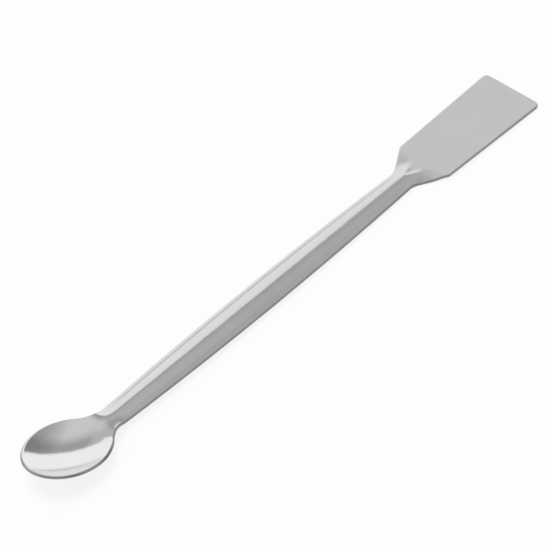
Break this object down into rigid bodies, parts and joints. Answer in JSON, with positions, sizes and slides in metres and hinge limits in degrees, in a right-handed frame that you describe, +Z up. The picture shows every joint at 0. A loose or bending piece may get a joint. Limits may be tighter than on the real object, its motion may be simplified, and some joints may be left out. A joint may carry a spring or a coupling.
{
  "type": "lab spatula",
  "caption": "Stamped steel lab spatula with an oval spoon bowl, a ridged handle and a flat rectangular blade, for scooping and lifting powders and small samples.",
  "frame": {"origin": "on the floor, under the middle of the spatula as it lies at rest", "axes": "+X along the spatula from the bowl to the blade, +Y across it, +Z up from the floor"},
  "size_m": [0.2006, 0.0208, 0.0066],
  "materials": {
    "steel": "polished bowl and handle, satin blade"
  },
  "bodies": {
    "root": {"spatula": "steel"}
  },
  "joints": []
}
